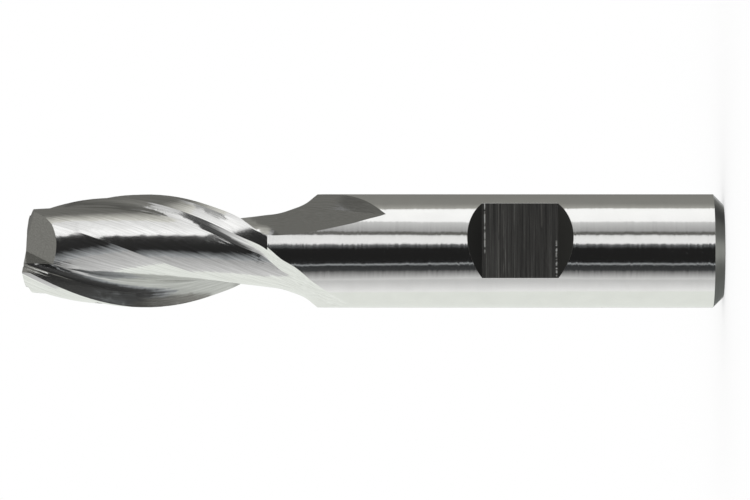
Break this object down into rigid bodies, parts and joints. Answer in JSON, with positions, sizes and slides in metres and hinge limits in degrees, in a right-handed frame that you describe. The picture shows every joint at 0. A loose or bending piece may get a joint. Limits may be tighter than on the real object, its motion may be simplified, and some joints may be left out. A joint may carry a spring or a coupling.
{
  "type": "end mill",
  "caption": "Right-hand spiral end mill with ground flutes, gashed end teeth, and a plain cylindrical shank with a side-lock clamping flat.",
  "frame": {"origin": "centre of the shank's flat rear face", "axes": "+Z along the tool axis, towards the cutting end; the side-lock flat faces -Y"},
  "size_m": [0.012, 0.012, 0.074],
  "materials": {
    "endmill": "ground and polished high-speed steel, with a dark oxide finish left in the clamping flat"
  },
  "bodies": {
    "root": {"endmill": "endmill"}
  },
  "joints": []
}
